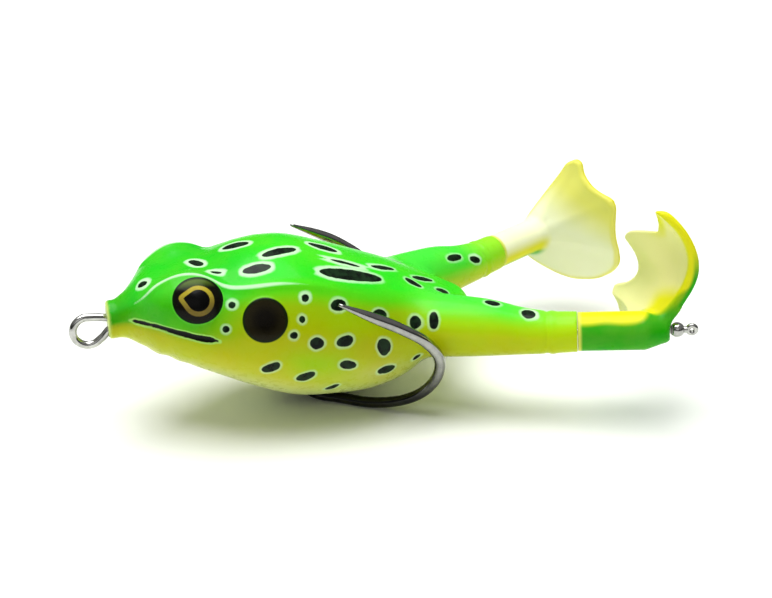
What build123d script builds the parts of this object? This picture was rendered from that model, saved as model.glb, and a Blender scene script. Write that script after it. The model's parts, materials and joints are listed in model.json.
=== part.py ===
from build123d import *
from math import cos, radians, sin
import os

# Soft hollow-body frog lure with two spinning feet. Millimetres, nose at -X, tail at +X,
# the frog's left side at -Y, +Z up, z = 0 is the table under the hook.

# --- lengthwise layout, counted rearward from the front face of the nose tube ---
ring_major = 2.12
ring_wire = 1.14                 # diameter of the line-tie wire
ring_gap = 0.21                  # between the line-tie ring and the nose
ring_centre_back = -(ring_major + ring_wire / 2 + ring_gap)
sleeve_end_back = 68.5           # middle of the open end of each leg
sleeve_end_side = 17.4
sleeve_end_height = 13.7
leg_splay = 24.0                 # degrees outward
leg_rise = 4.5                   # degrees upward

# --- body skin ---
wall = 1.6
nose_height = 17.2
nose_radius = 2.8
body_stations = [                # back from nose, half width, underside, top
    (2.5, 3.2, 14.3, 20.8),
    (6.0, 6.9, 12.1, 23.9),
    (10.0, 9.7, 10.2, 25.0),
    (15.0, 11.9, 7.8, 25.6),
    (21.0, 13.5, 4.8, 27.0),
    (27.0, 14.2, 2.5, 27.2),
    (33.0, 14.1, 2.2, 25.9),
    (39.0, 13.2, 2.2, 23.6),
    (45.0, 11.0, 3.5, 21.0),
    (50.0, 8.0, 7.0, 18.6),
    (54.0, 4.2, 11.0, 16.4),
]
cavity_first, cavity_last = 2, 10
brow_back, brow_side, brow_height, brow_radius = 11.6, 6.4, 20.7, 4.7

# --- leg sleeves, counted along the leg from its open end ---
sleeve_root_back = 43.91         # where the sleeve starts inside the body
sleeve_root = (sleeve_root_back - sleeve_end_back) / (cos(radians(leg_splay)) * cos(radians(leg_rise)))
sleeve_rings = [                 # along, radius, lift of the soft sleeve above the foot's axis
    (sleeve_root, 5.0, 1.9),
    (-18.0, 4.4, 1.0),
    (-9.0, 3.65, 0.25),
    (-4.4, 3.25, 0.0),
    (0.0, 3.1, 0.0),
]
sleeve_groove_at, sleeve_groove_width, sleeve_groove_depth = -4.5, 0.5, 0.25
plug_length = 12.0
plug_radius = 2.0
plug_fit = 0.02

# --- foot and its running gear, along the same leg axis ---
leg_wire_radius = 0.5
running_gap = 0.05
foot_gap = 0.35                  # between sleeve end and spinning foot
barrel_radius = 3.05
barrel_length = 10.0
ankle_end = 13.5
ankle_end_radius = 1.8
bush_radius = 1.2
bush_overhang = 0.2              # the bush stands out behind the foot, so the bead never rubs on it
bead_radius = 1.15
bead_at = ankle_end + bush_overhang + running_gap + bead_radius
loop_major, loop_minor = 0.6, 0.38
loop_at = bead_at + bead_radius + running_gap + loop_major + loop_minor
head_radius, head_length = 1.1, 0.8
web_root = 1.5
web_root_at = {"left": 12.6, "right": 10.6}
web_thick = 1.3
# web rays: degrees from straight up toward the other leg, reach, place of the tip along
# the leg, then reach and place of the belly of the curve
web_rays = {
    "left": [
        (-12, 15.0, 13.6, 9.5, 16.4),
        (9, 18.6, 12.0, 10.0, 17.0),
        (35, 16.0, 7.2, 9.5, 15.6),
        (58, 13.8, 6.0, 8.6, 14.8),
        (79, 12.8, 5.4, 8.0, 14.2),
        (98, 9.0, 7.0, 6.0, 13.2),
    ],
    "right": [
        (-8, 8.0, 12.0, 5.0, 11.2),
        (15, 13.3, 18.0, 7.4, 15.0),
        (38, 13.0, 17.4, 7.4, 15.0),
        (60, 13.6, 17.4, 7.4, 15.0),
        (82, 13.2, 17.4, 7.4, 15.0),
        (104, 13.4, 17.0, 7.4, 14.6),
        (126, 10.4, 13.6, 6.2, 12.6),
    ],
}
toe_notches = {"left": [(22, 18.6, 3.0), (57, 15.6, 2.8)], "right": [(38, 15.0, 2.7), (82, 15.3, 2.7)]}

# --- hook and keel weight ---
hook_wire = 1.7
hook_spread = sleeve_end_side - 1.2     # half the widest spread, so that the bends pass outside the legs
hook_path = [                    # back from nose, out from the middle, height
    (22.0, 0.8, 7.9),
    (25.4, 0.8, 7.0),
    (30.5, 1.3, hook_wire / 2),
    (38.0, 7.3, hook_wire / 2),
    (46.9, hook_spread - 4.5, 2.7),
    (48.4, hook_spread - 0.6, 11.6),
    (39.2, hook_spread, 18.0),
]
hook_point = (31.7, hook_spread - 1.0, 21.9)
hook_point_radius = 0.12
hook_bend_radius = 3.2
slot_clearance = 0.4             # all round the hook's wire where it leaves the belly
slot_front = 26.25 - hook_wire / 2 - slot_clearance
slot_back = 35.25 + hook_wire / 2 + slot_clearance
slot_half_width = 2.75 + hook_wire / 2 + slot_clearance
weight_front, weight_back, weight_half_width, weight_top = 19.0, 28.6, 4.4, 10.6
weight_gap = 0.3                 # between the weight and the inside of the skin
tie_bend_back = 6.6
tie_end_back, tie_end_height = 21.3, 9.7

# --- overall ---
leg_dir = Vector(cos(radians(leg_splay)) * cos(radians(leg_rise)),
                 -sin(radians(leg_splay)) * cos(radians(leg_rise)), sin(radians(leg_rise)))
front_back = ring_centre_back - ring_major - ring_wire / 2
relaxed_toes = web_rays["right"][1::2]
rear_back = max(sleeve_end_back + tip_at * leg_dir.X + reach * sin(radians(turn)) * sin(radians(leg_splay))
                for turn, reach, tip_at, _, _ in relaxed_toes)
middle = (front_back + rear_back) / 2
parts = {}


def at(back, side, height):
    return Vector(back - middle, side, height)


leg = Plane(origin=at(sleeve_end_back, -sleeve_end_side, sleeve_end_height),
            x_dir=(sin(radians(leg_splay)), cos(radians(leg_splay)), 0), z_dir=leg_dir)

# hull of the body, its cavity and the legs, kept aside as tools for the skin
with BuildPart() as hull:
    for back, half, low, high in body_stations:
        with BuildSketch(Plane.YZ.offset(back - middle)):
            with Locations((0, (low + high) / 2)):
                Ellipse(half, (high - low) / 2)
    loft()
with BuildPart() as cavity:
    for back, half, low, high in body_stations[cavity_first:cavity_last]:
        with BuildSketch(Plane.YZ.offset(back - middle)):
            with Locations((0, (low + high) / 2)):
                Ellipse(half - wall, (high - low) / 2 - wall)
    loft()
with BuildPart() as sleeve:
    for along, radius, lift in sleeve_rings:
        with BuildSketch(leg.offset(along)):
            with Locations((0, lift)):
                Circle(radius)
    loft()
    with BuildSketch(leg.offset(sleeve_groove_at)):
        Circle(sleeve_rings[3][1] + 1)
        Circle(sleeve_rings[3][1] - sleeve_groove_depth, mode=Mode.SUBTRACT)
    extrude(amount=sleeve_groove_width / 2, both=True, mode=Mode.SUBTRACT)
with BuildPart() as sleeve_hollow:
    for along, radius, lift in sleeve_rings[:2]:
        with BuildSketch(leg.offset(along)):
            with Locations((0, lift)):
                Circle(radius - wall)
    with BuildSketch(leg.offset(-plug_length)):
        Circle(plug_radius + plug_fit)
    loft()
    with BuildSketch(leg.offset(-plug_length)):
        Circle(plug_radius + plug_fit)
    extrude(amount=plug_length + 1)

# double hook: two mirrored bends, shanks soldered side by side
with BuildPart() as double_hook:
    for side in (-1, 1):
        knots = [at(back, side * out, height) for back, out, height in hook_path]
        with BuildLine() as bend:
            FilletPolyline(*knots, radius=hook_bend_radius)
        with BuildSketch(Plane(origin=bend.line @ 0, z_dir=bend.line % 0)):
            Circle(hook_wire / 2)
        sweep(path=bend.line)
        tip = at(hook_point[0], side * hook_point[1], hook_point[2])
        with BuildSketch(Plane(origin=knots[-1], z_dir=tip - knots[-1])):
            Circle(hook_wire / 2)
        with BuildSketch(Plane(origin=tip, z_dir=tip - knots[-1])):
            Circle(hook_point_radius)
        loft()
        with Locations(knots[-1]):
            Sphere(hook_wire / 2)
parts["double_hook"] = double_hook.part

# line-tie: a closed ring in front, its tail running back into the weight
ring_height = nose_height - 1.3
with BuildPart() as line_tie_wire:
    with BuildSketch(Plane.XY.offset(ring_height)):
        with Locations((ring_centre_back - middle + ring_major, 0)):
            Circle(ring_wire / 2)
    revolve(axis=Axis(at(ring_centre_back, 0, ring_height), (0, 1, 0)), revolution_arc=360)
    with BuildLine() as tail:
        FilletPolyline(at(ring_centre_back + ring_major, 0, ring_height + 0.3), at(0.2, 0, nose_height),
                       at(tie_bend_back, 0, nose_height), at(tie_end_back, 0, tie_end_height), radius=1.2)
    with BuildSketch(Plane(origin=tail.line @ 0, z_dir=tail.line % 0)):
        Circle(ring_wire / 2)
    sweep(path=tail.line)
parts["line_tie_wire"] = line_tie_wire.part

# keel weight, shaped to the belly and cast round the hook shanks and the line-tie wire
with BuildPart() as ballast_weight:
    for back, half, low, high in body_stations[2:8]:
        with BuildSketch(Plane.YZ.offset(back - middle)):
            with Locations((0, (low + high) / 2)):
                Ellipse(half - wall - weight_gap, (high - low) / 2 - wall - weight_gap)
    loft()
    with BuildSketch(Plane.XY):
        with Locations(((weight_front + weight_back) / 2 - middle, 0)):
            RectangleRounded(weight_back - weight_front, 2 * weight_half_width, 1.6)
    extrude(amount=weight_top, mode=Mode.INTERSECT)
    add(double_hook.part, mode=Mode.SUBTRACT)
    add(line_tie_wire.part, mode=Mode.SUBTRACT)
parts["ballast_weight"] = ballast_weight.part

# skin: hull, nose tube, brows and both sleeves, hollowed, with the belly slot for the hook
with BuildPart() as body_shell:
    add(hull.part)
    with BuildSketch(Plane.YZ.offset(-middle)):
        with Locations((0, nose_height)):
            Circle(nose_radius)
    extrude(amount=3.2)
    with Locations(at(brow_back, brow_side, brow_height), at(brow_back, -brow_side, brow_height)):
        Sphere(brow_radius)
    add(sleeve.part)
    mirror(sleeve.part, about=Plane.XZ)
    add(cavity.part, mode=Mode.SUBTRACT)
    add(sleeve_hollow.part, mode=Mode.SUBTRACT)
    mirror(sleeve_hollow.part, about=Plane.XZ, mode=Mode.SUBTRACT)
    with BuildSketch(Plane.XY):
        with Locations(((slot_front + slot_back) / 2 - middle, 0)):
            SlotOverall(slot_back - slot_front, 2 * slot_half_width)
    extrude(amount=nose_height / 2, mode=Mode.SUBTRACT)
    with BuildSketch(Plane(origin=tail.line @ 0, z_dir=tail.line % 0)):
        Circle(ring_wire / 2 + plug_fit)
    sweep(path=tail.line, mode=Mode.SUBTRACT)
parts["body_shell"] = body_shell.part


def web_section(root_at, turn, reach, tip_at, belly_reach, belly_at):
    """Thin curved slice of the webbed foot, drawn in the plane of one ray."""
    outward = leg.x_dir * sin(radians(turn)) + leg.y_dir * cos(radians(turn))
    with BuildSketch(Plane(origin=leg.origin, x_dir=outward, z_dir=outward.cross(leg.z_dir))) as slice_:
        root = Vector(web_root, root_at)
        belly = Vector(belly_reach, belly_at)
        tip = Vector(reach, tip_at)
        across = (tip - root).normalized()
        inside = Vector(across.Y, -across.X)
        lip = (tip - belly).normalized()
        with BuildLine():
            rear = ThreePointArc(root, belly, tip)
            inner_tip = tip + Vector(lip.Y, -lip.X) * web_thick * 0.6
            front = ThreePointArc(root + Vector(0, -web_thick), belly + inside * web_thick, inner_tip)
            Line(rear @ 1, front @ 1)
            Line(rear @ 0, front @ 0)
        make_face()
    return slice_.sketch


# spinning feet and their running gear, all on the axis of one leg
for side_name in ("left", "right"):
    with BuildPart() as foot:
        with BuildSketch(leg.offset(foot_gap)):
            Circle(barrel_radius)
        extrude(amount=barrel_length - foot_gap)
        with BuildSketch(leg.offset(barrel_length)):
            Circle(barrel_radius)
        with BuildSketch(leg.offset(ankle_end)):
            Circle(ankle_end_radius)
        loft()
        loft(sections=[web_section(web_root_at[side_name], *ray) for ray in web_rays[side_name]])
        for turn, reach, radius in toe_notches[side_name]:
            with BuildSketch(leg):
                with Locations((reach * sin(radians(turn)), reach * cos(radians(turn)))):
                    Circle(radius)
            extrude(amount=2 * ankle_end, mode=Mode.SUBTRACT)
        with BuildSketch(leg):
            Circle(bush_radius)
        extrude(amount=2 * ankle_end, mode=Mode.SUBTRACT)
    with BuildPart() as bush:
        with BuildSketch(leg.offset(foot_gap)):
            Circle(bush_radius)
            Circle(leg_wire_radius + running_gap, mode=Mode.SUBTRACT)
        extrude(amount=ankle_end + bush_overhang - foot_gap)
    with BuildPart() as bead:
        with Locations(leg.offset(bead_at)):
            Sphere(bead_radius)
            Cylinder(leg_wire_radius + running_gap, 3 * bead_radius, mode=Mode.SUBTRACT)
    with BuildPart() as leg_wire:
        with BuildSketch(leg.offset(-plug_length - head_length)):
            Circle(head_radius)
        extrude(amount=head_length)
        with BuildSketch(leg.offset(-plug_length)):
            Circle(leg_wire_radius)
        extrude(amount=plug_length + loop_at - loop_major)
        with Locations(Location(Plane(origin=(leg.offset(loop_at)).origin, z_dir=leg.x_dir))):
            Torus(loop_major, loop_minor)
    with BuildPart() as plug:
        with BuildSketch(leg.offset(-plug_length)):
            Circle(plug_radius)
            Circle(leg_wire_radius + plug_fit, mode=Mode.SUBTRACT)
        extrude(amount=plug_length)
    made = {"foot": foot, "foot_bush": bush, "tail_bead": bead, "leg_wire": leg_wire, "leg_plug": plug}
    for name, built in made.items():
        if side_name == "right":
            with BuildPart() as turned:
                mirror(built.part, about=Plane.XZ)
            built = turned
        parts[f"{name}_{side_name}"] = built.part

os.makedirs("parts", exist_ok=True)
for name, piece in parts.items():
    piece.label = name
    export_step(piece, f"parts/{name}.step")
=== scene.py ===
import json
from math import cos, pi, radians, sin

import bpy
import numpy as np
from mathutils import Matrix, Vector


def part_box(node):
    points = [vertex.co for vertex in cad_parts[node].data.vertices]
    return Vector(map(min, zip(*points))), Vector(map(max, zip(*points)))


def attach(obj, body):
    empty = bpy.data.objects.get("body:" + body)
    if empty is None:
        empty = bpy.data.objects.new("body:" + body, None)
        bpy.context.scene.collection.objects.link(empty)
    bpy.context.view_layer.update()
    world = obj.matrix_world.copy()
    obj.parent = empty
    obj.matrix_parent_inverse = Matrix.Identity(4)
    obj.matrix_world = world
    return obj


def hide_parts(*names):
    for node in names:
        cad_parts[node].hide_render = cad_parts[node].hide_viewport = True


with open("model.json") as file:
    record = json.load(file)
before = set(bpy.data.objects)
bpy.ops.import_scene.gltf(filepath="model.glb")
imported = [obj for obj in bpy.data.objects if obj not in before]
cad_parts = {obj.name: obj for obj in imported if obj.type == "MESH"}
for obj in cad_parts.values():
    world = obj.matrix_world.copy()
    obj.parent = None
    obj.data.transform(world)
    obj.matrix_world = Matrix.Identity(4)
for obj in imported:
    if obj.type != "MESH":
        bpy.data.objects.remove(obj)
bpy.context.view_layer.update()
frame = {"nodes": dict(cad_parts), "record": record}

import openvdb
from mathutils import Vector

# ---------------------------------------------------------------- sizes, in millimetres
MM = 0.001
skin_low = np.array(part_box("body_shell")[0]) / MM
NOSE_X = skin_low[0]                 # front face of the nose tube
NOSE_Z = 17.2                        # height of the nose tube's axis
TUBE_R, TUBE_LENGTH = 2.8, 5.0
BODY_FRONT, BODY_TAIL = 1.5, 57.0    # the plain body's ends, back from nose
JOINTS = {j["name"]: j for j in frame["record"]["behaviour"]["joints"]}
LEG = {}                             # where each spinning foot starts, and the way its axle points
for side_name in ("left", "right"):
    spin = JOINTS[f"foot_{side_name}_spin"]
    LEG[side_name] = (np.array(spin["pos_m"]) / MM, np.array(spin["axis"]))

# back from nose, half width, underside, top of the body's cross-sections
BODY = np.array([
    (0.0, 2.6, 14.8, 19.8), (2.5, 3.3, 14.3, 20.9), (6.0, 6.9, 12.1, 23.9), (10.0, 9.7, 10.2, 24.8),
    (15.0, 11.9, 7.8, 25.2), (21.0, 13.5, 4.8, 26.9), (27.0, 14.2, 2.5, 27.2), (33.0, 14.1, 1.9, 25.5),
    (39.0, 13.2, 1.9, 23.3), (45.0, 11.0, 3.5, 21.0), (50.0, 8.0, 7.0, 18.6), (54.0, 4.6, 10.6, 16.6),
    (58.0, 1.5, 12.6, 14.6)])
# along the leg (0 at the spinning foot), radius, lift of the sleeve above the foot's axis
SLEEVE = np.array([(-30.0, 5.1, 2.4), (-27.0, 5.1, 2.1), (-18.0, 4.75, 1.4), (-12.6, 4.3, 0.95),
                   (-8.0, 3.62, 0.3), (-4.4, 3.28, 0.0), (0.0, 3.1, 0.0)])
SLEEVE_END = 0.03                    # where the sleeve's open end stops
SLEEVE_ROOT = -28.5                  # where it begins, inside the body
BROW = np.array((11.6, 5.9, 20.8))
BROW_SIZE = np.array((5.3, 4.5, 4.8))
EYEBALL = np.array((12.7, 6.9, 20.9))
EYEBALL_R = 4.15
EYE_LOOK = np.array((-0.12, 0.80, 0.56))
EYE_LOOK /= np.linalg.norm(EYE_LOOK)
EYE_R = 3.62                         # painted disc on the eyeball
EAR_R = 3.28
EAR_AT = (21.4, 72.6)                # back from nose, degrees round from the top
CREASE_HEIGHT, MOUTH_DEPTH, EAR_HEIGHT, WRINKLE = 0.34, 0.42, 0.16, 0.12
BELLY_SLOT = np.array((31.0, 0.0, 2.0))
BELLY_SLOT_SIZE = np.array((5.2, 2.9, 7.0))
# brow crease and mouth on one side: back from nose, side, height
CREASE = np.array([
    (4.0, 3.6, 20.8), (7.0, 5.0, 22.3), (8.7, 5.8, 23.5), (10.3, 6.3, 24.6), (12.5, 6.7, 25.1),
    (14.5, 7.3, 24.7), (16.3, 8.0, 24.0), (18.0, 8.7, 23.5), (20.5, 9.3, 23.4), (24.3, 9.7, 23.5),
    (28.0, 10.0, 23.1), (32.0, 10.1, 22.3), (37.0, 9.8, 20.8)])
MOUTH = np.array([(2.7, 3.8, 18.3), (5.4, 6.4, 18.4), (7.6, 8.1, 18.45), (10.0, 9.7, 17.9),
                  (12.0, 10.6, 17.3), (14.8, 11.8, 16.9)])


def curve_through(rows, x):
    """Smooth values of the other columns of rows at x, through every row."""
    k, v = rows[:, 0], rows[:, 1:]
    slope = np.gradient(v, k, axis=0)
    i = np.clip(np.searchsorted(k, x) - 1, 0, len(k) - 2)
    h = k[i + 1] - k[i]
    t = np.clip((x - k[i]) / h, 0, 1)
    h, t = h[..., None], t[..., None]
    return ((2 * t**3 - 3 * t**2 + 1) * v[i] + (t**3 - 2 * t**2 + t) * h * slope[i]
            + (3 * t**2 - 2 * t**3) * v[i + 1] + (t**3 - t**2) * h * slope[i + 1])


def blend_min(a, b, k):
    """Union of two distances with a fillet about k wide."""
    h = np.clip(0.5 + 0.5 * (b - a) / k, 0, 1)
    return b + (a - b) * h - k * h * (1 - h)


def blend_max(a, b, k):
    """Intersection of two distances with a rounding about k wide."""
    return -blend_min(-a, -b, k)


def smooth(lo, hi, x):
    """0 at lo, 1 at hi, eased at both ends."""
    t = np.clip((x - lo) / (hi - lo), 0, 1)
    return t * t * (3 - 2 * t)


def bell(x, width):
    """1 at 0, falling away on both sides."""
    return np.exp(-(x / width) ** 2)


def length(v):
    return np.sqrt((v * v).sum(-1))


def line_distance(p, pts):
    """Distance from p to a polyline, and how far along it (0 to 1) the nearest point is."""
    best = np.full(p.shape[:-1], 1e9, np.float32)
    where = np.zeros(p.shape[:-1], np.float32)
    run = np.concatenate([[0], np.cumsum(length(np.diff(pts, axis=0)))])
    for a, b, s0, s1 in zip(pts[:-1], pts[1:], run[:-1], run[1:]):
        d = b - a
        t = np.clip(((p - a) @ d) / (d @ d), 0, 1)
        r = length(p - a - t[..., None] * d)
        near = r < best
        best = np.where(near, r, best)
        where = np.where(near, (s0 + t * (s1 - s0)) / run[-1], where)
    return best, where


def outline_distance(p, points):
    """Signed distance to a closed outline, negative inside."""
    best = np.full(p.shape[:-1], 1e9)
    inside = np.zeros(p.shape[:-1], bool)
    for a, b in zip(points, np.roll(points, -1, axis=0)):
        d = b - a
        t = np.clip(((p - a) @ d) / (d @ d), 0, 1)
        best = np.minimum(best, length(p - a - t[..., None] * d))
        crosses = (a[1] > p[..., 1]) != (b[1] > p[..., 1])
        at_x = a[0] + (p[..., 1] - a[1]) * d[0] / (d[1] if abs(d[1]) > 1e-9 else 1e-9)
        inside ^= crosses & (p[..., 0] < at_x)
    return np.where(inside, -best, best)


def refine(pts, n=6):
    """A rounder polyline through pts."""
    rows = np.column_stack([np.arange(len(pts)), pts])
    return curve_through(rows, np.linspace(0, len(pts) - 1, n * (len(pts) - 1) + 1))


# ---------------------------------------------------------------- the frog's skin as a smooth solid
def body_base(p):
    """Signed distance to the plain body, in frog coordinates: back from nose, |side|, height."""
    s, y, z = p[..., 0], p[..., 1], p[..., 2]
    w, low, high = np.moveaxis(curve_through(BODY, s), -1, 0)
    mid, half = (low + high) / 2, (high - low) / 2
    u, v = y / w, (z - mid) / half
    k = np.sqrt(u * u + v * v) + 1e-6
    turn = np.degrees(np.arctan2(u, v))
    # shoulders, a flatter back, and the snout's upper edges
    size = 1 + 0.018 * bell(turn - 50, 14) - 0.012 * bell(turn, 26)
    size = size + 0.085 * bell(turn - 44, 22) * bell(s - 6.5, 3.2)
    f = (k - size) * k / (np.sqrt((u / w) ** 2 + (v / half) ** 2) + 1e-6)
    f = blend_max(f, s - BODY_TAIL, 2.0)
    f = blend_max(f, BODY_FRONT - s, 1.0)
    tube = np.sqrt(y * y + (z - NOSE_Z) ** 2)
    # a groove round the tube behind its slightly fuller lip
    tube_r = TUBE_R - 0.22 * bell(s - 2.3, 0.9) + 0.1 * bell(s - 0.6, 0.6)
    tube = blend_max(tube - tube_r, blend_max(-s, s - TUBE_LENGTH, 0.6), 0.5)
    f = blend_min(f, tube, 1.0)
    q = (p - BROW) / BROW_SIZE
    brow = (length(q) - 1) * length(q) / (length(q / BROW_SIZE) + 1e-6)
    return blend_min(f, brow, 1.8)


def leg_frame(side_name):
    """Where the spinning foot starts, and rows: along the leg, toward the other leg, up."""
    origin, axis = LEG[side_name]
    inward = np.array((abs(axis[1]), axis[0] if side_name == "left" else -axis[0], 0.0))
    inward /= np.linalg.norm(inward)
    up = np.cross(axis, inward)
    up *= np.sign(up[2])
    return origin, np.array((axis, inward, up))


def leg_coordinates(p, side_name):
    """Along the leg, toward the other leg, and up, for points in the row frame."""
    origin, rows = leg_frame(side_name)
    d = p - origin
    return [d @ row for row in rows]


def sleeve_field(along, inward, up):
    """Signed distance to a leg sleeve, with the moulded ring near its open end."""
    radius, lift = np.moveaxis(curve_through(SLEEVE, along), -1, 0)
    radius = radius - 0.14 * bell(along + 4.5, 0.35) + 0.1 * bell(along + 3.7, 0.5)
    r = np.sqrt(inward**2 + (up - lift) ** 2)
    f = blend_max(r - radius, along - SLEEVE_END, 0.12)
    return blend_max(f, SLEEVE_ROOT - along, 3.0)


def to_frog(p):
    """Row frame to frog coordinates."""
    q = p.copy()
    q[..., 0] -= NOSE_X
    q[..., 1] = np.abs(q[..., 1])
    return q


def surface_point(back, round_deg):
    """Where the plain body is met from its middle line, round_deg from the top."""
    low, high = curve_through(BODY, np.array([back]))[0, 1:]
    a = radians(round_deg)
    t = np.linspace(0.5, 22, 900)      # steps outward, well past the widest part
    ray = np.stack([np.full_like(t, back), t * sin(a), (low + high) / 2 + t * cos(a)], -1)
    return ray[np.argmax(body_base(ray) > 0)]


def on_surface(pts, field):
    """The points moved onto the field's surface."""
    pts = np.array(pts, float)
    for _ in range(6):
        f, g = field(pts), gradient(field, pts)
        pts = pts - f[:, None] * g / ((g * g).sum(-1, keepdims=True) + 1e-9)
    return pts


def gradient(field, p, e=0.02):
    """Slope of the field at p, which points outward."""
    g = np.empty_like(p)
    for i in range(3):
        shift = np.zeros(3)
        shift[i] = e
        g[..., i] = (field(p + shift) - field(p - shift)) / (2 * e)
    return g


def disc_distance(p, centre, out, reach=4.0):
    """Distance from the disc's middle measured across its face."""
    d = p - centre
    h = d @ out
    return np.where(np.abs(h) < reach, length(d - h[..., None] * out), 50.0)


crease_line = on_surface(refine(CREASE), body_base)
mouth_line = on_surface(refine(MOUTH), body_base)
eye_at = EYEBALL + EYEBALL_R * EYE_LOOK
ear_at = surface_point(*EAR_AT)
ear_out = gradient(body_base, ear_at[None])[0]
ear_out /= np.linalg.norm(ear_out)


def frog_field(p):
    """Body with its relief, in frog coordinates."""
    f = body_base(p)
    f = blend_min(f, length(p - EYEBALL) - EYEBALL_R, 0.5)
    d, t = line_distance(p, crease_line)
    f = f - CREASE_HEIGHT * bell(d, 0.7) * smooth(0, 0.12, t) * (1 - smooth(0.6, 1, t))
    d, t = line_distance(p, mouth_line)
    f = f + MOUTH_DEPTH * bell(d, 0.42) * smooth(0, 0.1, t) * (1 - smooth(0.92, 1, t))
    f = f - EAR_HEIGHT * (1 - smooth(EAR_R - 0.1, EAR_R + 0.2, disc_distance(p, ear_at, ear_out)))
    # moulded wrinkles along the lower jaw
    s, z = p[..., 0], p[..., 2]
    return f - WRINKLE * np.sin(s * 2.1) * bell(s - 7, 4) * smooth(17, 14, z)


def skin_field(p):
    """The whole skin in the row frame."""
    q = to_frog(p)
    f = frog_field(q)
    for name in LEG:
        f = blend_min(f, sleeve_field(*leg_coordinates(p, name)), 2.2)
    hole = (length((q - BELLY_SLOT) / BELLY_SLOT_SIZE) - 1) * BELLY_SLOT_SIZE[1]
    return blend_max(f, -hole, 0.6)


def solid(field, low, high, voxel, steps=3):
    """Closed quad mesh of field <= 0 inside the box, each vertex moved onto the exact surface."""
    low, high = np.array(low, float), np.array(high, float)
    n = np.ceil((high - low) / voxel).astype(int) + 1
    xs, ys, zs = (low[i] + voxel * np.arange(n[i]) for i in range(3))
    values = np.empty(n, np.float32)
    for i, x in enumerate(xs):
        yy, zz = np.meshgrid(ys, zs, indexing="ij")
        values[i] = field(np.stack([np.full_like(yy, x), yy, zz], -1))
    band = 3 * voxel
    grid = openvdb.FloatGrid(background=band)
    grid.copyFromArray(np.clip(values, -band, band))
    verts, quads = grid.convertToQuads(isovalue=0.0)
    verts = low + verts.astype(float) * voxel
    for _ in range(steps):
        f, g = field(verts), gradient(field, verts)
        move = f[:, None] * g / ((g * g).sum(-1, keepdims=True) + 1e-6)
        verts = verts - np.clip(move, -voxel, voxel)
    return verts, quads[:, ::-1]


def add_mesh(name, verts, faces, material):
    """A smooth-shaded piece; verts in millimetres."""
    mesh = bpy.data.meshes.new(name)
    mesh.from_pydata((verts * MM).tolist(), [], [tuple(f) for f in faces])
    mesh.materials.append(material)
    mesh.update()
    mesh.shade_smooth()
    piece = bpy.data.objects.new(name, mesh)
    bpy.context.collection.objects.link(piece)
    return piece


def paint(piece, name, values):
    """One value or one colour for each vertex, for the materials to read."""
    kind = "FLOAT_COLOR" if values.ndim == 2 else "FLOAT"
    layer = piece.data.attributes.new(name, kind, "POINT")
    key = "color" if values.ndim == 2 else "value"
    layer.data.foreach_set(key, np.ascontiguousarray(values, np.float32).ravel())


def tint(values):
    """Colours with the alpha that paint stores."""
    return np.column_stack([values, np.ones(len(values))])


def srgb(r, g, b):
    """Linear colour of a screen colour."""
    c = np.array((r, g, b), float) / 255
    return np.where(c <= 0.04045, c / 12.92, ((c + 0.055) / 1.055) ** 2.4)


# ---------------------------------------------------------------- painted pattern
# back from nose, degrees round from the top (negative: near the left side), long, wide, tilt
BACK_SPOTS = [
    (5.4, -24, 2.0, 1.1, -35), (13.6, -4, 2.9, 1.6, -60), (15.9, -30, 1.7, 0.7, -24),
    (19.9, 5, 4.2, 2.0, 22), (25.6, -19, 5.5, 1.6, 12), (21.6, -35, 4.2, 1.7, -2),
    (33.1, -4, 4.7, 1.9, -12), (35.8, -36, 10.6, 2.3, 1), (35.6, -23, 5.0, 0.7, -6),
    (41.9, -18, 4.2, 1.1, 8), (46.2, -35, 2.9, 1.4, -38), (48.6, -22, 4.4, 1.1, 14),
    (51.3, -46, 2.8, 1.5, 8), (27.0, 26, 4.5, 1.7, -10), (39.5, 30, 5.5, 1.8, 4),
    (45.5, 20, 3.2, 1.3, 20),
]
# the same, on both flanks
FLANK_SPOTS = [
    (32.5, 61, 2.5, 1.8, 9), (38.8, 66, 2.6, 1.8, 6), (44.0, 73, 2.1, 1.7, 81),
    (47.4, 75, 1.9, 1.1, 79), (28.6, 85, 2.1, 1.8, -16), (32.9, 83, 2.6, 1.7, 7),
    (39.1, 87, 2.9, 2.2, -68), (33.3, 99, 2.7, 1.5, -20), (39.7, 106, 3.0, 1.7, -6),
    (27.0, 110, 3.1, 1.7, 32), (21.9, 105, 3.0, 1.6, 34), (31.4, 122, 2.4, 1.2, 40),
    (44.6, 101, 1.5, 0.8, 60), (46.3, 112, 1.5, 0.7, 60), (17.1, 62, 0.9, 0.9, 0),
    (15.8, 79, 0.9, 0.9, 0), (27.6, 58, 1.2, 1.0, 60), (26.7, 71, 1.0, 0.9, 60),
    (25.3, 81, 1.1, 1.0, 0),
]
# along the leg, degrees round from the top (positive: outward), long, wide, tilt
LEG_SPOTS = {
    "left": [(-12.6, 4, 2.4, 1.5, 0), (-7.2, 16, 2.1, 2.0, 0), (-21.3, 58, 1.3, 2.6, 0)],
    "right": [(-12.0, -42, 3.4, 1.3, -4), (-7.4, -58, 2.3, 1.2, -24), (-16.0, 40, 2.5, 1.3, 0)],
}


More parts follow.
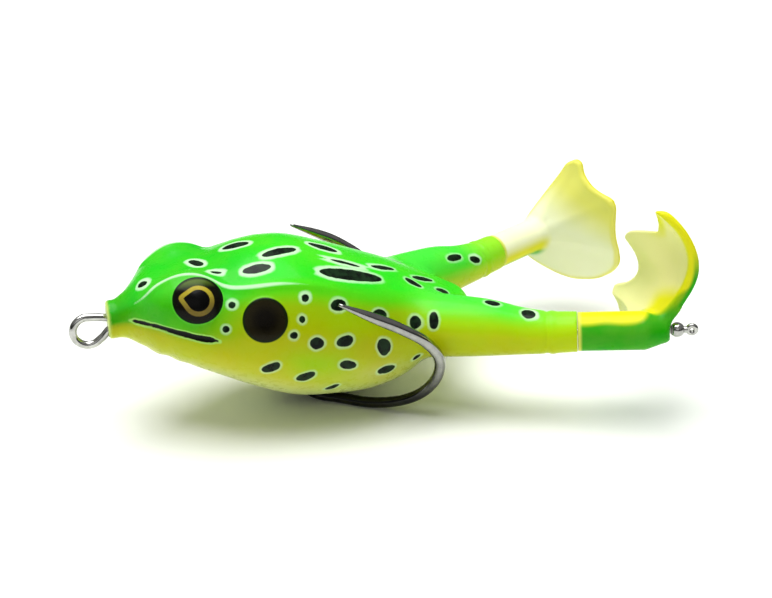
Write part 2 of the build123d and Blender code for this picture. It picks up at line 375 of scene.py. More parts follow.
def spot_distance(p):
    """Distance outside the nearest painted spot, in the row frame."""
    far = 20.0
    depth = 3.0                        # half thickness of the ellipsoid each spot is cut from
    best = np.full(len(p), far)

    def stamp(centre, out, forward, long, wide, tilt):
        nonlocal best
        out = out / np.linalg.norm(out)
        t1 = forward - out * (forward @ out)
        t1 /= np.linalg.norm(t1)
        t2 = np.cross(out, t1)
        t2 *= np.sign(t2[2]) or 1
        lean = radians(tilt)
        d = p - centre
        u = d @ (cos(lean) * t1 + sin(lean) * t2)
        v = d @ (cos(lean) * t2 - sin(lean) * t1)
        h = d @ out
        a, b = long / 2, wide / 2
        r = np.sqrt((u / a) ** 2 + (v / b) ** 2 + (h / depth) ** 2) + 1e-6
        slope = np.sqrt((u / a**2) ** 2 + (v / b**2) ** 2 + (h / depth**2) ** 2) + 1e-6
        best = np.minimum(best, np.where(r < 4, r * (r - 1) / slope, far))

    def on_body(back, turn, side, *shape):
        centre = surface_point(back, abs(turn))
        out = gradient(body_base, centre[None])[0]
        flip = np.array((1, side, 1))
        stamp(centre * flip + (NOSE_X, 0, 0), out * flip, np.array((1.0, 0, 0)), *shape)

    for back, turn, *shape in BACK_SPOTS:
        on_body(back, turn, 1 if turn > 0 else -1, *shape)
    for back, turn, *shape in FLANK_SPOTS:
        for side in (-1, 1):
            on_body(back, turn, side, *shape)
    for name, rows in LEG_SPOTS.items():
        origin, (axis, inward, up) = leg_frame(name)
        for along, turn, *shape in rows:
            radius, lift = curve_through(SLEEVE, np.array([along]))[0]
            out = cos(radians(turn)) * up - sin(radians(turn)) * inward
            stamp(origin + along * axis + lift * up + radius * out, out, axis, *shape)
    return best


def colour_along(value, stops):
    """Colour at value between the stops, each a place and its colour."""
    places = [place for place, _ in stops]
    colours = np.array([colour for _, colour in stops])
    return np.stack([np.interp(value, places, channel) for channel in colours.T], -1)


# degrees round from the top of the body, then of the head; height on the leg over its radius
BODY_PAINT = [
    (0, srgb(48, 220, 34)), (38, srgb(42, 222, 30)), (50, srgb(88, 208, 16)),
    (60, srgb(154, 190, 6)), (85, srgb(184, 190, 4)), (102, srgb(194, 194, 16)),
    (118, srgb(198, 202, 56)), (135, srgb(212, 220, 130)), (180, srgb(226, 232, 180))]
HEAD_PAINT = [
    (0, srgb(34, 200, 24)), (45, srgb(36, 198, 40)), (60, srgb(40, 182, 10)),
    (82, srgb(62, 182, 14)), (90, srgb(158, 182, 12)), (100, srgb(186, 188, 8)),
    (130, srgb(194, 196, 40)), (180, srgb(212, 218, 120))]
LEG_PAINT = [
    (-1, srgb(200, 208, 150)), (-0.8, srgb(190, 198, 60)), (-0.45, srgb(188, 196, 8)),
    (0.1, srgb(196, 210, 6)), (0.5, srgb(168, 222, 12)), (0.85, srgb(90, 232, 50)),
    (1, srgb(70, 228, 60))]
# low on the flank: back from nose, degrees round, reach, colour; the first is a sprayed green patch,
# the second a pale painted highlight where light glows through the thin plastic near the belly
SPRAY_AND_HIGHLIGHT_PATCHES = ((28.5, 100, 5.0, srgb(146, 214, 14)), (40.0, 112, 6.0, srgb(200, 208, 120)))


def skin_tone(p):
    """Airbrushed body colour: bright green back, yellow-green flank, pale belly, with a pale painted
    highlight low on the flank.
    """
    q = to_frog(p)
    s = q[:, 0]
    width, low, high = curve_through(BODY, s).T
    mid, half = (low + high) / 2, (high - low) / 2
    turn = np.degrees(np.arctan2(q[:, 1] / width, (q[:, 2] - mid) / half))
    head = (1 - smooth(11, 23, s + 0.10 * (turn - 60)))[:, None]
    tone = colour_along(turn, HEAD_PAINT) * head + colour_along(turn, BODY_PAINT) * (1 - head)
    # a sprayed green patch and a pale painted highlight, blended into the tone
    for back, round_deg, reach, colour in SPRAY_AND_HIGHLIGHT_PATCHES:
        near = 0.6 * (bell(s - back, reach) * bell(turn - round_deg, 11))[:, None]
        tone = tone * (1 - near) + colour * near
    # the snout is sprayed darker, and the tube's cut lip shows the bare plastic
    tone = tone * (1 - 0.3 * smooth(5.0, 1.5, s) * smooth(100, 70, turn))[:, None]
    lip = smooth(0.45, 0.1, s)[:, None]
    tone = tone * (1 - lip) + srgb(206, 226, 120) * lip
    for name in LEG:
        along, inward, up = leg_coordinates(p, name)
        radius, lift = curve_through(SLEEVE, along).T
        outside = np.sqrt(inward**2 + (up - lift) ** 2) - radius
        on_leg = (smooth(-27, -20, along) * (1 - smooth(1.0, 2.2, outside)))[:, None]
        # green comes further down on the inner side
        height = (up - lift) / radius + 0.5 * smooth(0.1, 1.0, inward / radius)
        pale = 0.45 * smooth(-11, 0, along)[:, None]
        leg = colour_along(height, LEG_PAINT) * (1 - pale) + srgb(206, 230, 10) * pale
        tone = tone * (1 - on_leg) + leg * on_leg
    return tone


# ---------------------------------------------------------------- materials
def new_material(name):
    m = bpy.data.materials.new(name)
    m.use_nodes = True
    tree = m.node_tree
    return m, tree, tree.nodes["Principled BSDF"]


def node(tree, kind, **props):
    n = tree.nodes.new(kind)
    for k, v in props.items():
        setattr(n, k, v)
    return n


def wire(tree, a, b):
    tree.links.new(a, b)


def scalar(tree, op, a, b):
    n = node(tree, "ShaderNodeMath", operation=op)
    for socket, v in zip(n.inputs, (a, b)):
        if isinstance(v, (int, float)):
            socket.default_value = v
        else:
            wire(tree, v, socket)
    return n.outputs[0]


def step(tree, value, lo, hi, out_lo=0.0, out_hi=1.0):
    """out_lo where value is lo, eased to out_hi where it is hi."""
    n = node(tree, "ShaderNodeMapRange", interpolation_type="SMOOTHSTEP")
    wire(tree, value, n.inputs["Value"])
    n.inputs["From Min"].default_value = lo
    n.inputs["From Max"].default_value = hi
    n.inputs["To Min"].default_value = out_lo
    n.inputs["To Max"].default_value = out_hi
    return n.outputs["Result"]


def within(tree, distance, lo, hi, strength=1.0):
    """Mask of a painted area: strength up to lo outside its edge, gone at hi."""
    return step(tree, distance, lo, hi, strength, 0.0)


def mix(tree, factor, a, b):
    n = node(tree, "ShaderNodeMix", data_type="RGBA")
    for socket, v in ((n.inputs["Factor"], factor), (n.inputs["A"], a), (n.inputs["B"], b)):
        if isinstance(v, (int, float)):
            socket.default_value = v
        elif isinstance(v, (tuple, np.ndarray)):
            socket.default_value = (*v, 1)
        else:
            wire(tree, v, socket)
    return n.outputs["Result"]


def attribute(tree, name, colour=False):
    n = node(tree, "ShaderNodeAttribute", attribute_name=name)
    return n.outputs["Color" if colour else "Fac"]


def noise(tree, scale, detail=3.0, rough=0.5):
    place = node(tree, "ShaderNodeTexCoord")
    n = node(tree, "ShaderNodeTexNoise")
    wire(tree, place.outputs["Object"], n.inputs["Vector"])
    n.inputs["Scale"].default_value = scale
    n.inputs["Detail"].default_value = detail
    n.inputs["Roughness"].default_value = rough
    return n.outputs["Fac"]


def bump(tree, shader, height, strength, distance):
    n = node(tree, "ShaderNodeBump")
    n.inputs["Strength"].default_value = strength
    n.inputs["Distance"].default_value = distance
    wire(tree, height, n.inputs["Height"])
    wire(tree, n.outputs["Normal"], shader.inputs["Normal"])


def soft_pvc(shader, scatter=0.06, rough=0.3):
    shader.inputs["Roughness"].default_value = rough
    shader.inputs["IOR"].default_value = 1.45
    shader.inputs["Specular IOR Level"].default_value = 0.1
    shader.inputs["Coat Weight"].default_value = 0.045
    shader.inputs["Coat Roughness"].default_value = 0.08
    shader.inputs["Subsurface Weight"].default_value = scatter
    shader.inputs["Subsurface Radius"].default_value = (1.0, 1.0, 0.4)
    shader.inputs["Subsurface Scale"].default_value = 0.0012


def wobbled(tree, name, scale, amount):
    """A painted distance with the uneven edge of hand spraying."""
    wobble = scalar(tree, "SUBTRACT", noise(tree, scale, 3), 0.5)
    return scalar(tree, "ADD", attribute(tree, name), scalar(tree, "MULTIPLY", wobble, amount))


# pale colour of the spot halos, and of the painted highlight along the brow crease
PALE_HALO_AND_HIGHLIGHT = srgb(206, 246, 200)


def over_spots(tree, colour, fine):
    """Black spots, each in a pale halo that is wide on the back and narrow on the flanks."""
    edge = wobbled(tree, "spot", 620, 0.45)
    strength = attribute(tree, "halo")
    narrowing = scalar(tree, "MULTIPLY", scalar(tree, "SUBTRACT", 1.0, strength), 0.6)
    halo = within(tree, scalar(tree, "ADD", edge, narrowing), 0.36, 0.82, 0.88)
    colour = mix(tree, scalar(tree, "MULTIPLY", halo, strength), colour, PALE_HALO_AND_HIGHLIGHT)
    black = mix(tree, step(tree, fine, 0.35, 0.7), srgb(8, 18, 10), srgb(24, 50, 26))
    return mix(tree, within(tree, edge, -0.05, 0.1), colour, black)


def over_lines(tree, colour):
    """A pale painted highlight along the brow crease, and the black mouth in its light edge."""
    # painted highlight: a pale line along the raised crease, where light catches the ridge
    colour = mix(tree, within(tree, attribute(tree, "crease"), 0.12, 0.5, 0.85), colour, PALE_HALO_AND_HIGHLIGHT)
    mouth = wobbled(tree, "mouth", 800, 0.22)
    colour = mix(tree, within(tree, mouth, 0.1, 0.36, 0.75), colour, srgb(176, 236, 120))
    return mix(tree, within(tree, mouth, -0.05, 0.06), colour, srgb(4, 8, 4))


def over_ear(tree, colour):
    """The round black ear, brown toward its green-black rim."""
    ear = attribute(tree, "ear")
    drum = mix(tree, step(tree, ear, -2.4, -0.4), srgb(8, 5, 0), srgb(30, 26, 8))
    drum = mix(tree, step(tree, ear, -0.55, -0.1), drum, srgb(12, 30, 4))
    return mix(tree, within(tree, ear, -0.1, 0.1), colour, drum)


def over_eye(tree, colour):
    """A dark disc with a painted green sheen of light at its top, a gold tear-drop ring painted
    brighter toward its top and darker below as light falls from above, and a black pupil.
    """
    eye = attribute(tree, "eye")
    height = attribute(tree, "lid")
    # painted reflection: the dark disc turns green toward its top, a sheen of light on the glossy eye
    iris_with_painted_sheen = mix(tree, step(tree, height, 1.5, 2.9), srgb(12, 10, 4), srgb(78, 104, 24))
    iris_with_painted_sheen = mix(tree, step(tree, eye, -0.55, -0.15), iris_with_painted_sheen, srgb(6, 22, 4))
    colour = mix(tree, within(tree, eye, 0.0, 0.3, 0.6), colour, srgb(96, 214, 60))
    colour = mix(tree, within(tree, eye, -0.06, 0.06), colour, iris_with_painted_sheen)
    # painted light: the gold ring is brighter toward its top and darker below, as lit from above; the
    # tarnish is random wear
    gold = mix(tree, step(tree, height, -1.6, 1.8), srgb(118, 104, 44), srgb(186, 172, 44))
    tarnish = step(tree, noise(tree, 1500, 2), 0.3, 0.75, 0.0, 0.35)
    gold = mix(tree, tarnish, gold, srgb(150, 120, 50))
    colour = mix(tree, within(tree, attribute(tree, "gold"), -0.06, 0.1), colour, gold)
    return mix(tree, within(tree, attribute(tree, "pupil"), -0.05, 0.05), colour, srgb(4, 4, 3))


def skin_material():
    m, tree, shader = new_material("frog_skin_paint")
    soft_pvc(shader)
    cloud = noise(tree, 140, 4)
    fine = noise(tree, 900, 2)
    clouded = step(tree, cloud, 0.35, 0.72, 0.0, 0.16)
    colour = mix(tree, clouded, attribute(tree, "tone", True), srgb(150, 226, 30))
    colour = over_spots(tree, colour, fine)
    colour = over_lines(tree, colour)
    colour = over_ear(tree, colour)
    colour = over_eye(tree, colour)
    wire(tree, colour, shader.inputs["Base Color"])
    wire(tree, step(tree, fine, 0.2, 0.9, 0.24, 0.38), shader.inputs["Roughness"])
    bump(tree, shader, cloud, 0.1, 0.0001)
    return m


def web_material():
    m, tree, shader = new_material("frog_web_pvc")
    soft_pvc(shader, 0.12, 0.34)
    cloud = noise(tree, 220, 4)
    clouded = step(tree, cloud, 0.3, 0.75, 0.0, 0.08)
    colour = mix(tree, clouded, attribute(tree, "tone", True), srgb(232, 232, 120))
    wire(tree, colour, shader.inputs["Base Color"])
    wire(tree, step(tree, noise(tree, 900, 2), 0.2, 0.9, 0.26, 0.45), shader.inputs["Roughness"])
    bump(tree, shader, cloud, 0.15, 0.00012)
    return m


def metal_material(name, colour, dark, rough, with_painted_shade=False):
    """Bare metal; with painted shade, its colour is multiplied by the piece's own tone, which darkens
    it where it lies in shade.
    """
    m, tree, shader = new_material(name)
    shader.inputs["Metallic"].default_value = 1.0
    wear = noise(tree, 700, 4, 0.6)
    worn = mix(tree, step(tree, wear, 0.35, 0.7), colour, dark)
    if with_painted_shade:
        # painted shade: the piece's tone multiplies the metal's colour
        shade = node(tree, "ShaderNodeMix", data_type="RGBA", blend_type="MULTIPLY")
        shade.inputs["Factor"].default_value = 1.0
        wire(tree, worn, shade.inputs["A"])
        wire(tree, attribute(tree, "tone", True), shade.inputs["B"])
        worn = shade.outputs["Result"]
    wire(tree, worn, shader.inputs["Base Color"])
    wire(tree, step(tree, wear, 0.3, 0.8, rough, rough + 0.14), shader.inputs["Roughness"])
    bump(tree, shader, wear, 0.12, 0.00005)
    return m


def plastic_material(name, colour, other, rough):
    m, tree, shader = new_material(name)
    grain = noise(tree, 500, 3)
    colour = mix(tree, step(tree, grain, 0.3, 0.7), colour, other)
    wire(tree, colour, shader.inputs["Base Color"])
    wire(tree, step(tree, grain, 0.3, 0.8, rough, rough + 0.15), shader.inputs["Roughness"])
    bump(tree, shader, grain, 0.15, 0.0001)
    return m


skin_paint = skin_material()
web_pvc = web_material()
bright_steel = metal_material("bright_wire_steel", srgb(200, 200, 196), srgb(168, 168, 164), 0.05)
black_nickel = metal_material(
    "black_nickel_hook", srgb(164, 164, 161), srgb(146, 146, 144), 0.1, with_painted_shade=True)
cast_metal = metal_material("cast_keel_metal", srgb(110, 110, 112), srgb(84, 84, 86), 0.5)
plug_plastic = plastic_material("plug_plastic", srgb(196, 204, 110), srgb(184, 192, 96), 0.4)
bush_plastic = plastic_material("bush_plastic", srgb(236, 236, 228), srgb(222, 222, 214), 0.35)

# ---------------------------------------------------------------- skin piece
SKIN_VOXEL = 0.28
SKIN_MARGIN = 1.2
# the pupil is a circle drawn out to a point toward the nose, leaning up; the gold ring follows it
PUPIL_R, PUPIL_POINT, PUPIL_LEAN = 1.58, 2.2, radians(17)
PUPIL_AT = (-0.15, -0.2)             # from the eye's middle: ahead, above
GOLD_HALF = 0.31


def pupil_outline():
    """A circle and the two straight sides that meet in front of it."""
    touch = np.arccos(PUPIL_R / PUPIL_POINT)
    turn = np.linspace(touch, 2 * pi - touch, 28)
    circle = PUPIL_R * np.column_stack([np.cos(turn), np.sin(turn)])
    return np.vstack([(PUPIL_POINT, 0), circle])


def paint_eye(skin, q):
    """Distances on the eyeball's face, for points in frog coordinates."""
    d = q - eye_at
    ahead = np.array((-1.0, 0, 0)) + EYE_LOOK * EYE_LOOK[0]
    ahead /= np.linalg.norm(ahead)
    above = np.cross(EYE_LOOK, ahead)
    above *= np.sign(above[2])
    u, v = d @ ahead, d @ above
    near, far = length(d) < 6, 9.0
    ring_u, ring_v = u - PUPIL_AT[0], v - PUPIL_AT[1]
    leaned = np.stack([ring_u * cos(PUPIL_LEAN) + ring_v * sin(PUPIL_LEAN),
                       ring_v * cos(PUPIL_LEAN) - ring_u * sin(PUPIL_LEAN)], -1)
    drop = np.where(near, outline_distance(leaned, pupil_outline()), far)
    disc = np.sqrt((u + 0.05) ** 2 + ((v - 0.05) * 1.06) ** 2) - EYE_R
    paint(skin, "eye", np.where(near, disc, far))
    paint(skin, "gold", np.abs(drop - GOLD_HALF) - GOLD_HALF)
    paint(skin, "pupil", drop)
    paint(skin, "lid", np.where(near, v, 0))


def build_skin():
    low, high = (np.array(corner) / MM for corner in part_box("body_shell"))
    verts, quads = solid(skin_field, low - SKIN_MARGIN, high + SKIN_MARGIN, SKIN_VOXEL)
    skin = add_mesh("frog_skin", verts, quads, skin_paint)
    q = to_frog(verts)
    paint(skin, "tone", tint(skin_tone(verts)))
    paint(skin, "spot", spot_distance(verts))
    on_back = smooth(20.5, 23.5, verts[:, 2] + 7 * smooth(14, 22, verts[:, 0]))
    paint(skin, "halo", 0.58 + 0.42 * on_back)
    # the painted highlight along the crease is thinner at its front and dies away behind
    d, t = line_distance(q, on_surface(crease_line, frog_field))
    paint(skin, "crease", d + 0.9 * smooth(0.55, 1.0, t) + 0.25 * (1 - smooth(0.0, 0.15, t)))
    # the mouth is widest toward its back and narrow at both ends
    d, t = line_distance(q, mouth_line)
    half = (0.42 + 0.16 * smooth(0.25, 0.6, t)) * smooth(0, 0.08, t) * (1 - 0.7 * smooth(0.9, 1, t))
    paint(skin, "mouth", d - half + 0.08)
    paint(skin, "ear", disc_distance(q, ear_at, ear_out) - EAR_R)
    paint_eye(skin, q)
    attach(skin, "lure_body")
    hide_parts("body_shell")


build_skin()

# ---------------------------------------------------------------- feet
BARREL_R, BARREL_START, BARREL_END = 3.05, 0.07, 10.0
ANKLE_END, ANKLE_R, BORE_R = 13.5, 1.8, 1.2
WEB_THICK, TOE_THICK, TOE_HALF = 1.15, 0.35, 1.1
PER_DEGREE = 0.0175
WEB_VOXEL = 0.2
# room round each foot: along the leg, toward the other leg, up
WEB_ROOM = {"left": ((-0.5, -5, -5.5), (19, 14, 20.5)), "right": ((-0.5, -5, -10), (20.5, 17, 15.5))}
# how the web curls: degrees round from straight up toward the other leg, then how far along the
# leg it lies at its root, at its belly and at its edge, each after the reach it is given at
WEB_CURL = {
    "left": [(0, 1.5, 12.9, 11.0, 17.2, 18.6, 13.0), (20, 1.5, 11.8, 10.2, 15.6, 17.5, 10.2),
             (35, 1.5, 10.6, 9.2, 13.4, 16.0, 7.0), (57, 1.5, 9.2, 8.2, 11.0, 14.6, 6.4),
             (82, 1.5, 7.6, 7.4, 8.4, 12.8, 5.2)],
    "right": [(95, 1.5, 10.0, 7.4, 14.6, 13.5, 17.35), (160, 1.5, 9.7, 7.4, 11.4, 13.5, 13.2),
              (230, 1.5, 9.7, 7.4, 11.4, 13.5, 13.2), (300, 1.5, 10.0, 7.4, 14.6, 13.5, 17.35)],
}
# outline of the web seen along the leg: toward the other leg, up
WEB_EDGE = {
    "left": [(0.9, 18.7), (2.7, 18.0), (4.1, 16.4), (5.2, 14.6), (5.6, 13.7), (7.0, 13.5),
             (8.1, 13.2), (8.8, 11.8), (8.8, 10.5), (8.7, 9.0), (8.8, 7.2), (9.2, 5.3), (10.1, 3.9),
             (11.7, 3.0), (11.3, 1.7), (10.1, 0.5), (9.8, -0.9), (8.0, -2.0), (3.0, -2.6),
             (-1.5, -1.0), (-0.4, 2.5), (0.2, 4.5), (0.0, 7.0), (-0.3, 10.0), (-0.5, 13.0),
             (-0.4, 16.0)],
    "right": [(-2.9, 1.8), (-1.5, 4.9), (-0.2, 7.8), (1.2, 10.7), (1.9, 12.4), (3.5, 13.3),
              (5.0, 13.0), (5.9, 11.2), (8.5, 9.1), (12.7, 7.4), (13.0, 2.4), (14.5, -3.4),
              (13.5, -5.4), (10.9, -7.2), (7.4, -7.5), (4.4, -6.7), (0.5, -4.9), (-2.5, -3.5)],
}
# degrees round at which a thicker toe runs out through the web
TOES = {"left": (3, 35, 82), "right": (15, 58, 103)}


def round_corners(points, times=2):
    """The closed outline with its corners cut, twice as many points each time."""
    for _ in range(times):
        ahead = np.roll(points, -1, axis=0)
        points = np.stack([0.8 * points + 0.2 * ahead, 0.2 * points + 0.8 * ahead], 1).reshape(-1, 2)
    return points


def web_place(side_name, c):
    """Height above the curled middle of the web, distance outside its outline, reach and turn."""
    along, inward, up = c[..., 0], c[..., 1], c[..., 2]
    rho = np.sqrt(inward**2 + up**2) + 1e-6
    turn = np.degrees(np.arctan2(inward, up))
    if side_name == "right":
        turn = np.where(turn < -60, turn + 360, turn)
    rows = np.array(WEB_CURL[side_name], float)
    curl = curve_through(rows, np.clip(turn, rows[0, 0], rows[-1, 0]))
    r0, a0, r1, a1, r2, a2 = np.moveaxis(curl, -1, 0)
    first = (a1 - a0) / (r1 - r0)
    second = ((a2 - a1) / (r2 - r1) - first) / (r2 - r0)
    slope = first + second * (2 * rho - r0 - r1)
    middle = a0 + (rho - r0) * (first + second * (rho - r1))
    # slight waves that grow toward the edge
    middle = middle + 0.22 * np.sin(np.radians(turn) * 7) * smooth(5, 12, rho)
    edge = outline_distance(c[..., 1:], round_corners(np.array(WEB_EDGE[side_name], float)))
    return (along - middle) / np.sqrt(1 + slope**2), edge, rho, turn


def foot_field(side_name):
    """The signed distance of one foot: barrel, ankle and curled web, with the bore through them."""
    def field(c):
        along = c[..., 0]
        height, edge, rho, turn = web_place(side_name, c)
        barrel = np.maximum(rho - BARREL_R, BARREL_START - along)
        cone = BARREL_R + (ANKLE_R - BARREL_R) * (along - BARREL_END) / (ANKLE_END - BARREL_END)
        cone = (rho - np.minimum(cone, BARREL_R)) * 0.95
        solid_core = blend_max(blend_max(barrel, cone, 0.3), along - ANKLE_END, 0.4)
        toe = np.zeros_like(rho)
        for ray in TOES[side_name]:
            toe = np.maximum(toe, bell((turn - ray) * rho * PER_DEGREE, TOE_HALF))
        thick = WEB_THICK + TOE_THICK * toe - 0.35 * smooth(8, 16, rho) + 0.25 * bell(edge, 0.7)
        sheet = blend_max(np.abs(height) - thick / 2, edge, 0.6)
        f = blend_min(solid_core, sheet, 1.0)
        f = blend_max(f, BARREL_START - along, 0.12)
        return blend_max(f, BORE_R - rho, 0.15)

    return field


def foot_tone(side_name, c):
    """Green underneath and behind, bright yellow on top and along the rim, pale inside the web."""
    along, inward, up = c.T
    height, edge, rho, turn = web_place(side_name, c)
    whole = np.ones((len(c), 1))
    yellow, green = whole * srgb(236, 232, 14), whole * srgb(26, 168, 2)
    pale, olive = whole * srgb(254, 248, 174), whole * srgb(242, 236, 104)
    cream = whole * srgb(252, 254, 214)

    def blend(a, b, t):
        return a * (1 - t[:, None]) + b * t[:, None]

    behind = smooth(-0.3, 0.3, height)
    web = smooth(2.9, 4.0, rho) * smooth(3.0, 6.0, along)
    if side_name == "left":
        core = blend(green, yellow, smooth(1.7, 2.5, up + 0.08 * np.sin(along * 1.1)))
        inner = blend(pale, yellow, smooth(-1.5, -0.5, edge) * smooth(30, 12, turn))
        inner = blend(inner, yellow, smooth(7.5, 4.5, rho) * smooth(60, 30, turn))
        back = blend(green, yellow, smooth(8.0, 13.5, rho))
    else:
        core = blend(green, blend(yellow, cream, smooth(-0.8, 1.4, up)), smooth(-2.6, -1.4, up))
        inner = blend(cream, olive, smooth(4.0, 11.0, up + 0.5 * inward) * 0.9)
        inner = blend(inner, olive, smooth(-0.9, -0.2, edge) * 0.8)
        back = blend(green, yellow, smooth(4.0, 9.0, rho))
    tone = blend(core, blend(inner, back, behind), web)
    if side_name == "left":
        # the green climbs the outer side of the heel
        heel = smooth(0.4, -0.6, up - 1.7 - 0.62 * (along - 8.5)) * smooth(1.0, -0.4, inward)
        tone = blend(tone, green, heel * smooth(8.0, 9.0, along))
    return blend(whole * srgb(222, 226, 90), tone, smooth(0.35, 0.8, along))


def build_foot(side_name):
    local, quads = solid(foot_field(side_name), *WEB_ROOM[side_name], WEB_VOXEL)
    origin, rows = leg_frame(side_name)
    if np.linalg.det(rows) < 0:
        quads = quads[:, ::-1]
    foot = add_mesh(f"foot_{side_name}_web", origin + local @ rows, quads, web_pvc)
    paint(foot, "tone", tint(foot_tone(side_name, local)))
    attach(foot, f"foot_{side_name}_turning")
    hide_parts(f"foot_{side_name}")


for side_name in LEG:
    build_foot(side_name)


# ---------------------------------------------------------------- wire work
def tube(path, radii, ring):
    """Verts and faces of a round wire along path, closed at both ends."""
    tangents = np.gradient(path, axis=0)
    tangents /= length(tangents)[:, None]
    side = np.cross(tangents[0], (0.3, 0.2, 0.93))
    a = np.linspace(0, 2 * pi, ring, endpoint=False)[:, None]
    verts, faces = [], []
    for p, t, r in zip(path, tangents, radii):
        side = side - t * (side @ t)
        side /= np.linalg.norm(side)
        other = np.cross(t, side)
        verts.append(p + r * (np.cos(a) * side + np.sin(a) * other))
    n = len(path)
    for i in range(n - 1):
        for k in range(ring):
            k2 = (k + 1) % ring
            faces.append((i * ring + k, i * ring + k2, (i + 1) * ring + k2, (i + 1) * ring + k))
    faces.append(tuple(range(ring - 1, -1, -1)))
    faces.append(tuple((n - 1) * ring + k for k in range(ring)))
    return np.concatenate(verts), faces


HOOK_R = 0.85                        # of the wire
POINT_LENGTH, POINT_TIP = 7.5, 0.1   # how far the point tapers, and its tip as a part of HOOK_R
RIGHT_RAISED = 1.65
# one limb from the shank to the point: back from nose, side, height
HOOK = np.array([
    (22.0, 0.8, 7.9), (25.2, 0.85, 7.0), (28.2, 1.0, 3.6), (31.0, 1.7, 1.15), (34.5, 3.9, 0.85),
    (38.6, 6.9, 0.9), (42.6, 9.6, 1.9), (45.6, 11.8, 4.0), (47.3, 13.6, 7.2), (47.2, 15.0, 11.0),
    (44.6, 15.9, 14.6), (40.4, 16.1, 17.5), (36.0, 15.8, 19.8), (31.7, 15.2, 21.9)])


def hook_limb(side):
    path = refine(HOOK, 8) * (1, side, 1) + (NOSE_X, 0, 0)
    if side > 0:
        # the right-hand bend is sprung a little higher
        path[:, 2] += RIGHT_RAISED * smooth(8, 20, path[:, 2])
    run = np.concatenate([[0], np.cumsum(length(np.diff(path, axis=0)))])
    left = run[-1] - run
    taper = POINT_TIP + (1 - POINT_TIP) * smooth(-2.5, POINT_LENGTH, left) ** 0.9
    return tube(path, HOOK_R * np.where(left < POINT_LENGTH, taper, 1.0), 24)


def build_hook():
    (verts_a, faces_a), (verts_b, faces_b) = hook_limb(-1), hook_limb(1)
    verts = np.concatenate([verts_a, verts_b])
    faces = faces_a + [tuple(i + len(verts_a) for i in face) for face in faces_b]
    hook = add_mesh("double_hook_wire", verts, faces, black_nickel)
    # painted shade: the wire is darkened toward the low bend, where it lies in shade near the table,
    # and left bright on the upper limbs
    painted_shade_factor = 0.1 + 0.9 * smooth(2.5, 12.0, verts[:, 2:])
    paint(hook, "tone", tint(np.repeat(painted_shade_factor, 3, axis=1)))
    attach(hook, "lure_body")
    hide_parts("double_hook")


# line tie: out of the top of the nose tube, round a ring, and back in below as a tear-drop
RING_AT, RING_R, WIRE_R = (-2.95, NOSE_Z - 1.5), 2.12, 0.6
HALF_PITCH = 0.3                     # the two ends lie side by side in the tube
TIE_UPPER = [(21.3, 9.7), (14.0, 13.3), (7.0, 16.7), (3.0, 17.3), (0.3, 17.4), (-1.3, 17.65)]
TIE_LOWER = [(-0.75, 14.75), (0.15, 15.7), (1.4, 16.2), (4.0, 16.5)]


def build_line_tie():
    turn = np.radians(np.linspace(96, 300, 18))
    across = np.linspace(HALF_PITCH, -HALF_PITCH, 18)
    ring = np.stack([RING_AT[0] + RING_R * np.cos(turn), across,
                     RING_AT[1] + RING_R * np.sin(turn)], -1)
    upper = [(x, HALF_PITCH, z) for x, z in TIE_UPPER]
    lower = [(x, -HALF_PITCH, z) for x, z in TIE_LOWER]
    path = refine(np.concatenate([upper, ring, lower]), 5) + (NOSE_X, 0, 0)
    tie = add_mesh("line_tie_eye", *tube(path, np.full(len(path), WIRE_R), 20), bright_steel)
    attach(tie, "lure_body")
    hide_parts("line_tie_wire")


build_hook()
build_line_tie()

# the CAD pieces that stay keep their shapes and get these finishes
finishes = {"leg_wire": bright_steel, "tail_bead": bright_steel, "ballast_weight": cast_metal,
            "leg_plug": plug_plastic, "foot_bush": bush_plastic}
for name, piece in frame["nodes"].items():
    for start, material in finishes.items():
        if name.startswith(start):
            for held in piece.material_slots:
                held.material = material

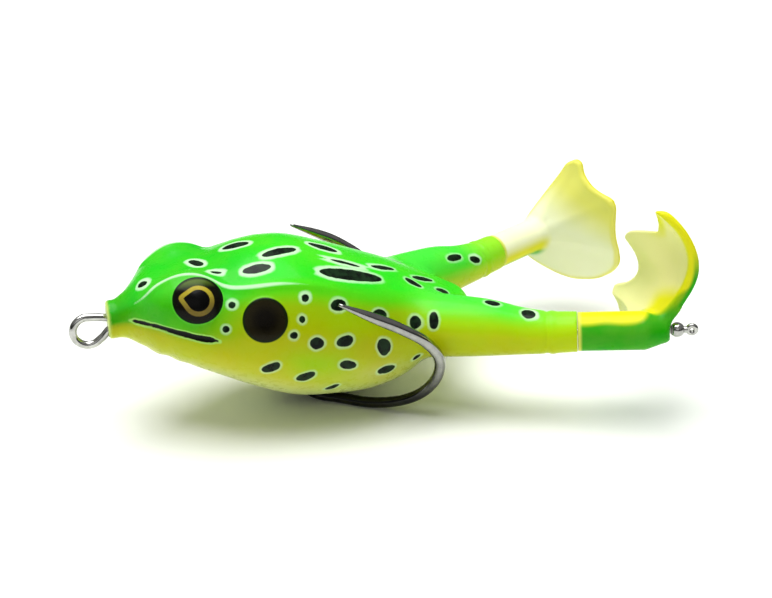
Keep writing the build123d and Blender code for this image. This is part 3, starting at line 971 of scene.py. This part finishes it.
# ---------------------------------------------------------------- table, light and camera
TABLE_HALF = 3.0
corners = [(-TABLE_HALF, -TABLE_HALF, 0), (TABLE_HALF, -TABLE_HALF, 0),
           (TABLE_HALF, TABLE_HALF, 0), (-TABLE_HALF, TABLE_HALF, 0)]
table_mesh = bpy.data.meshes.new("table")
table_mesh.from_pydata(corners, [], [(0, 1, 2, 3)])
table_top, tree, shader = new_material("pale_table")
shader.inputs["Base Color"].default_value = (0.94, 0.955, 0.92, 1)
shader.inputs["Roughness"].default_value = 0.6
table_mesh.materials.append(table_top)
table = bpy.data.objects.new("table", table_mesh)
bpy.context.collection.objects.link(table)

world = bpy.data.worlds.new("studio")
bpy.context.scene.world = world
world.use_nodes = True
# a bright tent overhead that darkens toward the horizon, as round a product table
tent = world.node_tree
sky = tent.nodes["Background"]
place = node(tent, "ShaderNodeTexCoord")
split = node(tent, "ShaderNodeSeparateXYZ")
wire(tent, place.outputs["Generated"], split.inputs[0])
overhead = step(tent, split.outputs["Z"], 0.02, 0.6)
wire(tent, mix(tent, overhead, (0.06, 0.065, 0.06), (1.0, 1.0, 0.99)), sky.inputs["Color"])
sky.inputs["Strength"].default_value = 0.26


def soft_light(name, at, aim, size, power):
    lamp = bpy.data.lights.new(name, "AREA")
    lamp.shape = "RECTANGLE"
    lamp.size, lamp.size_y = size
    lamp.energy = power
    ob = bpy.data.objects.new(name, lamp)
    ob.location = Vector(at)
    ob.rotation_euler = (Vector(aim) - Vector(at)).to_track_quat("-Z", "Y").to_euler()
    bpy.context.collection.objects.link(ob)


soft_light("overhead", (-0.15, 0.18, 1.4), (0, 0, 0), (1.3, 1.3), 30.0)
soft_light("front_fill", (-0.6, -1.4, 0.8), (0, 0, 0.01), (1.2, 0.9), 1.5)

AIM = Vector((NOSE_X + 43.4, 0, 15.1)) * MM
ELEVATION, AZIMUTH, DISTANCE = radians(23.3), radians(17.0), 0.200
back_of = Vector((-cos(ELEVATION) * sin(AZIMUTH), -cos(ELEVATION) * cos(AZIMUTH), sin(ELEVATION)))
camera_data = bpy.data.cameras.new("camera")
camera_data.sensor_width = 36.0
camera_data.lens = 58.8
camera_data.clip_start = 0.01
camera = bpy.data.objects.new("camera", camera_data)
camera.location = AIM + DISTANCE * back_of
camera.rotation_euler = back_of.to_track_quat("Z", "Y").to_euler()
bpy.context.collection.objects.link(camera)
bpy.context.scene.camera = camera
bpy.context.scene.view_settings.view_transform = "Standard"
